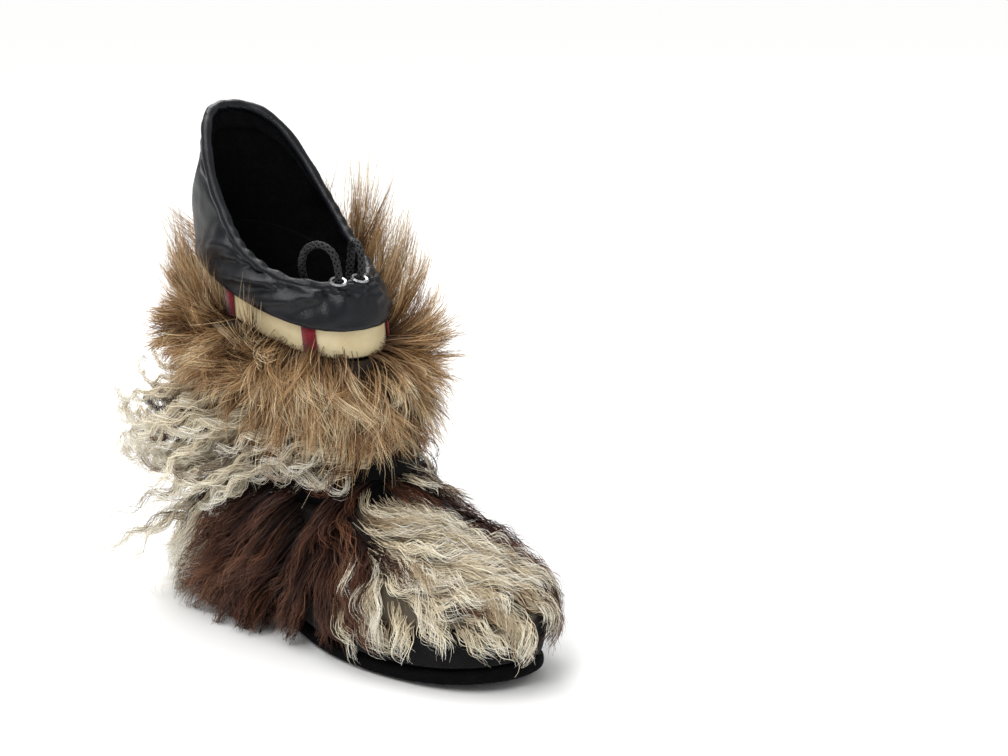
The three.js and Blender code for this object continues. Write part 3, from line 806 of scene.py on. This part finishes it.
def fleece_kinds(at, seed):
    dice = np.random.default_rng(seed).random(len(at))
    inner = at[:, 1] / MM + 9 * drift(at, 14 * MM, 5) > 0
    kinds = deal(dice, {"white": 0.6, "cream": 0.24, "grey": 0.12, "brown": 0.04})
    kinds[inner] = deal(dice[inner], {"brown": 0.66, "rust": 0.16, "white": 0.12, "grey": 0.06})
    return kinds


def fox_kinds(at, seed):
    return deal(np.random.default_rng(seed).random(len(at)), {"fox": 0.6, "fox_dark": 0.4})


# %% [markdown]
# ## The pelts under the hair
# Between the locks one sees the dense short wool at the skin. It is a felted wall: the faces of the
# upper between two lines, cut finer, thickened with solidify and roughened, in the locks' root colours
# darkened much further as painted shade.

# %% Pelt of one coat
PELT_ROUGHNESS = {"size": 5 * MM, "depth": 1.6 * MM}
# Painted shade: the pelt takes only a small share of the locks' root and middle colours, which stands for the
# shade the locks cast on it
PELT_PAINTED_SHADE = {"root": 0.12, "middle": 0.05}  # wool at the skin lies in the shade of the locks


def pelt(name, low, high, thickness, kinds_at, slot):
    shape = bmesh.new()
    shape_verts = [shape.verts.new(point) for point in upper_points]
    for triangle in upper_triangles:
        x, _, z = upper_points[triangle].mean(axis=0)
        if line_height(low, x) < z < line_height(high, x):
            shape.faces.new([shape_verts[k] for k in triangle])
    loose = [vert for vert in shape.verts if not vert.link_faces]
    bmesh.ops.delete(shape, geom=loose, context="VERTS")
    bmesh.ops.subdivide_edges(shape, edges=shape.edges, cuts=2, use_grid_fill=True)
    shape.normal_update()
    for vert in shape.verts:
        bump = noise.noise(vert.co / PELT_ROUGHNESS["size"]) * PELT_ROUGHNESS["depth"]
        vert.co += vert.normal * (0.6 * thickness + bump)
    bmesh.ops.solidify(shape, geom=shape.faces, thickness=0.5 * thickness)
    bmesh.ops.recalc_face_normals(shape, faces=shape.faces)
    mesh = smooth_mesh(shape, name)
    at = np.array([vert.co for vert in mesh.vertices])
    root, middle, _ = paint(kinds_at(at, 1))
    # painted shade: the stored colour is the darkened share of the root and middle colours
    store_colour(mesh, PELT_PAINTED_SHADE["root"] * root + PELT_PAINTED_SHADE["middle"] * middle)
    add_piece(name, mesh, [hair], slot)


pelt("foot_underwool", "rand_top", "foot_wool_top", 5 * MM, foot_kinds, "brown_fur")
pelt("shaft_underwool", "fleece_wool_bottom", "fox_bottom", 12 * MM, fleece_kinds, "white_fur")
pelt("fox_underwool", "fox_bottom", "fox_top", 12 * MM, fox_kinds, "fox_fur")

# %% [markdown]
# ## The foot
# Long goat hair: it falls back and down along the sides, and runs forwards over the toe and down its
# front. The coat is cut in two pieces so that neither has too many faces.

# %% Foot hair
DOWN = np.array([0, 0, -1.0])
TOEWARD = np.array([1.0, 0, 0])
INWARD = np.array([0, 1.0, 0])
DENSE_FROM = 105  # place in mm from which the shorter hair of the toe grows densest
SIDE_SHARE = 0.68  # share of the locks kept behind it
TOE_HAIR_END = 27  # height in mm at which most hair of the toe ends, so that the rand shows


def foot_comb(place, out):
    x = place[:, 0] / MM
    toe = smooth_step(x, 100, 160)
    inward = 0.8 * toe * smooth_step(out[:, 2], 0.1, 0.7)
    heading = DOWN + TOEWARD * (1.7 * toe - 0.5)[:, None] + INWARD * inward[:, None]
    heading -= out * (heading * out).sum(axis=1, keepdims=True)
    return swirl(unit(heading), out, 0.55 * drift(place, 15 * MM, 1) + 0.3 * drift(place, 6 * MM, 2))


def foot_hair(name, count, per_lock, seed):
    rng = np.random.default_rng(seed)

    def thinned(at):
        return (at[:, 0] > DENSE_FROM) | (rng.random(len(at)) < SIDE_SHARE)

    at = roots(count, "rand_top", "foot_top", seed, thinned)
    x, y, z = (at / MM).T
    heel = smooth_step(-x, -10, 30)
    toe = smooth_step(x, 110, 160)
    flank = smooth_step(-y, 5, 32) * (1 - smooth_step(x, 70, 125))
    full = 42 + 18 * rng.random(len(at)) - 14 * smooth_step(z, 78, 96)
    short = 1.05 * (z - TOE_HAIR_END) + 8 * rng.random(len(at)) + 0.3 * np.maximum(0, 195 - x)
    length = np.where(toe > 0.5, np.minimum(full, short), full) * MM
    bulge = flank * (15 + 18 * rng.random(len(at)))
    stand = (4 + (5 + 4 * (1 - toe)) * rng.random(len(at)) + 9 * heel + 5 * (1 - toe) + bulge) * MM
    lines, outs = guides(at, foot_comb, length, stand, 13)
    wave = (1.0 + 1.8 * rng.random(len(at)) + 2.0 * toe) * MM
    colours = paint(foot_kinds(at, seed))
    look = dict(spread=5.2 * MM, wavelength=21 * MM, width=0.46 * MM, close=0.5, stray=0.35)
    made = hairs(lines, outs, per_lock, wave=wave, colours=colours, seed=seed, **look)
    add_piece(name, hair_mesh(name, *made), [hair], "brown_fur", "foot_pelt")


for k in range(2):
    foot_hair(f"foot_hair_{k + 1}", 300, 24, 10 + k)

# %% [markdown]
# Over the toe lie loose cream curls, larger than the coat's own waves, that cross its partings.

# %% Toe curls
TOE_CURLS = {"x": (128, 215), "y": (-42, 16), "z": (40, 90)}


def in_box(at, box):
    inside = [(at[:, k] > low) & (at[:, k] < high) for k, (low, high) in enumerate(box.values())]
    return np.all(inside, axis=0)


def toe_curls(name, count, per_lock, seed):
    rng = np.random.default_rng(seed)
    at = roots(count, "rand_top", "foot_top", seed, lambda at: in_box(at, TOE_CURLS))
    length = (26 + 22 * rng.random(len(at))) * np.clip((at[:, 2] / MM - 22) / 40, 0.5, 1) * MM
    stand = (6 + 6 * rng.random(len(at))) * MM
    lines, outs = guides(at, foot_comb, length, stand, 12)
    wave = (3.2 + 2.6 * rng.random(len(at))) * MM
    colours = paint(deal(rng.random(len(at)), {"cream": 0.6, "white": 0.25, "tan": 0.15}))
    look = dict(spread=3.6 * MM, wavelength=27 * MM, width=0.44 * MM, close=0.6, stray=0.3, loose=0.2)
    made = hairs(lines, outs, per_lock, wave=wave, colours=colours, seed=seed, **look)
    add_piece(name, hair_mesh(name, *made), [hair], "brown_fur")


toe_curls("toe_curls", 85, 19, 21)

# %% [markdown]
# ## The shaft
# Long curly sheep wool: it runs backwards round the ankle and hangs off the heel side in ringlets.

# %% Shaft wool
def fleece_comb(place, out):
    low, high = (line_height(name, place[:, 0]) for name in ("fleece_bottom", "fox_bottom"))
    fall = 0.5 - 0.7 * np.clip((place[:, 2] - low) / (high - low), 0, 1)
    heading = DOWN * fall[:, None] - TOEWARD * 0.9
    heading = heading - out * (heading * out).sum(axis=1, keepdims=True)
    return swirl(unit(heading), out, 0.8 * drift(place, 13 * MM, 4) + 0.5 * drift(place, 5 * MM, 6))


def shaft_wool(name, count, per_lock, seed):
    rng = np.random.default_rng(seed)
    at = roots(count, "fleece_bottom", "fox_bottom", seed)
    x, y, _ = (at / MM).T
    front = smooth_step(x, 40, 100)
    outer = smooth_step(-y, 0, 30) * (1 - front)
    length = (48 + 24 * rng.random(len(at)) - 14 * front) * MM
    back = smooth_step(-x, 5, 35)
    stand = (14 + (18 + 30 * outer - 8 * back) * rng.random(len(at)) + 8 * outer - 9 * front) * MM
    lines, outs = guides(at, fleece_comb, length, stand, 19, 12 * MM)
    wave = (2.8 + 3.8 * rng.random(len(at))) * MM
    colours = paint(fleece_kinds(at, seed))
    look = dict(spread=3.0 * MM, wavelength=22 * MM, width=0.46 * MM, close=0.8, stray=0.25, loose=0.18)
    made = hairs(lines, outs, per_lock, wave=wave, colours=colours, seed=seed, **look)
    add_piece(name, hair_mesh(name, *made), [hair], "white_fur", "shaft_fleece")


for k in range(2):
    shaft_wool(f"shaft_wool_{k + 1}", 215, 19, 30 + k)

# %% [markdown]
# At the outer side of the heel the longest ringlets spring off the boot and hang in the air.

# %% Heel ringlets
HEEL_PATCH = {"x": (-24, 16), "y": (-60, -20), "z": (42, 88)}
RINGLET_WAY = np.array([-0.46, -0.88, 0.05])


def heel_ringlets(name, count, per_lock, seed):
    rng = np.random.default_rng(seed)
    at, out = settle(roots(count, "rand_top", "fox_bottom", seed, lambda at: in_box(at, HEEL_PATCH)))
    reach = (44 + 62 * rng.random(len(at)) ** 1.2) * MM
    fall = (18 + 34 * rng.random(len(at))) * MM
    way = unit(RINGLET_WAY + 0.16 * rng.normal(0, 1, (len(at), 3)))
    t = np.linspace(0, 1, 20)[:, None]
    lines = at[:, None] + way[:, None] * (reach[:, None, None] * t) + DOWN * (fall[:, None, None] * t**1.8)
    outs = np.repeat(out[:, None], len(t), axis=1)
    wave = (3.4 + 3.2 * rng.random(len(at))) * MM
    colours = paint(deal(rng.random(len(at)), {"cream": 0.55, "white": 0.3, "grey": 0.15}))
    look = dict(spread=3.4 * MM, wavelength=24 * MM, width=0.45 * MM, close=0.7, stray=0.4, loose=0.2)
    made = hairs(lines, outs, per_lock, wave=wave, colours=colours, seed=seed, **look)
    add_piece(name, hair_mesh(name, *made), [hair], "white_fur")


heel_ringlets("heel_ringlets", 72, 20, 41)

# %% [markdown]
# ## The fox band
# Fox has two coats: dense soft underfur and long pale guard hairs with straight tips. At the front and
# outer side it hangs over the ankle, and along its upper edge and on the inner side it stands up round
# the collar.

# %% Which way the fox fur stands
FOX_MIDDLE = np.array([31, -10]) * MM
# Round the boot by angle from the toe: how far the upper edge stands up (1) or hangs (-1), the lengths of
# rising and of hanging hair in mm, how thick the band is, and how close its upright hair stays to the boot
FOX_ROUND = [
    {"angle": -3.2, "top": 0.9, "rise": 50, "fall": 20, "thick": 0.9, "hug": 0.0},
    {"angle": -2.4, "top": 0.9, "rise": 46, "fall": 18, "thick": 1.0, "hug": 0.6},
    {"angle": -1.72, "top": 0.95, "rise": 40, "fall": 18, "thick": 1.0, "hug": 0.8},
    {"angle": -1.55, "top": 0.1, "rise": 26, "fall": 20, "thick": 0.95, "hug": 0.3},
    {"angle": -1.2, "top": 0.0, "rise": 26, "fall": 24, "thick": 0.9, "hug": 0.3},
    {"angle": -1.06, "top": 0.9, "rise": 19, "fall": 30, "thick": 0.9, "hug": 0.6},
    {"angle": -0.82, "top": 0.9, "rise": 18, "fall": 32, "thick": 0.9, "hug": 0.6},
    {"angle": -0.72, "top": -0.4, "rise": 24, "fall": 34, "thick": 0.9, "hug": 0.3},
    {"angle": -0.6, "top": -0.8, "rise": 26, "fall": 36, "thick": 0.9, "hug": 0.0},
    {"angle": 0.25, "top": -0.6, "rise": 40, "fall": 36, "thick": 1.0, "hug": 0.0},
    {"angle": 0.5, "top": 0.6, "rise": 66, "fall": 34, "thick": 1.1, "hug": 0.0},
    {"angle": 0.8, "top": 0.9, "rise": 80, "fall": 34, "thick": 1.0, "hug": 0.0},
    {"angle": 1.2, "top": 1.0, "rise": 94, "fall": 32, "thick": 0.92, "hug": 0.0},
    {"angle": 2.2, "top": 1.0, "rise": 90, "fall": 30, "thick": 0.9, "hug": 0.0},
    {"angle": 3.2, "top": 0.9, "rise": 50, "fall": 20, "thick": 0.9, "hug": 0.0},
]


def fox_stance(at):
    """The tilt of each hair of the band, from -1 for hanging to 1 for upright, and its row of the table."""
    angle = np.arctan2(at[:, 1] - FOX_MIDDLE[1], at[:, 0] - FOX_MIDDLE[0])
    angles = [row["angle"] for row in FOX_ROUND]
    here = {name: np.interp(angle, angles, [row[name] for row in FOX_ROUND]) for name in FOX_ROUND[0]}
    low, high = line_height("fox_bottom", at[:, 0]), line_height("fox_top", at[:, 0])
    share = np.clip((at[:, 2] - low) / (high - low), 0, 1)
    tilt = (here["top"] + 1) * smooth_step(share, 0, 0.85) - 1
    return tilt, here


# %% Fox fur
FOX_BEND = 7 * MM  # how far a tip bends aside


def fox_hair(name, count, per_lock, seed, shares, *, reach, stand, spread, width, close):
    rng = np.random.default_rng(seed)
    at, out = settle(roots(count, "fox_bottom", "fox_top", seed))
    tilt, here = fox_stance(at)
    aside = 0.35 * drift(at, 11 * MM, 7) + 0.3 * rng.normal(0, 1, len(at))
    heading = -DOWN * tilt[:, None] + unit(np.cross(out, DOWN)) * aside[:, None]
    far = here["fall"] + (here["rise"] - here["fall"]) * (tilt + 1) / 2
    length = reach * far * (0.65 + 0.45 * rng.random(len(at))) * MM
    off = stand * here["thick"] * (1 - 0.4 * np.abs(tilt)) * (0.6 + 0.4 * rng.random(len(at))) * MM
    off *= 1 - here["hug"] * np.maximum(0, tilt) * np.sqrt(rng.random(len(at)))
    t = np.linspace(0, 1, 6)
    lifted = off[:, None] * (1 - (1 - t) ** 2)
    laid = length[:, None] * t**1.3
    lines = at[:, None] + out[:, None] * lifted[..., None] + heading[:, None] * laid[..., None]
    bend = FOX_BEND * rng.normal(0, 1, (len(at), 3))
    bend -= out * np.minimum(0, (bend * out).sum(axis=1, keepdims=True))
    lines = lines + bend[:, None] * (t**2)[:, None]
    outs = np.repeat(out[:, None], len(t), axis=1)
    wave = 0.9 * rng.random(len(at)) * MM
    colours = paint(deal(rng.random(len(at)), shares))
    look = dict(spread=spread * MM, wavelength=40 * MM, width=width * MM, close=close, stray=0.5)
    made = hairs(lines, outs, per_lock, wave=wave, colours=colours, seed=seed, **look)
    add_piece(name, hair_mesh(name, *made), [hair], "fox_fur", "fox_fur_band")


underfur = {"fox": 0.5, "fox_dark": 0.24, "fox_pale": 0.26}
fox_hair("fox_underfur", 740, 26, 51, underfur, reach=0.9, stand=46, spread=4.6, width=0.38, close=0.3)
guard = {"fox_pale": 0.7, "fox_dark": 0.15, "fox": 0.15}
fox_hair("fox_guard_hairs", 640, 5, 52, guard, reach=1.2, stand=47, spread=7.0, width=0.34, close=0.1)
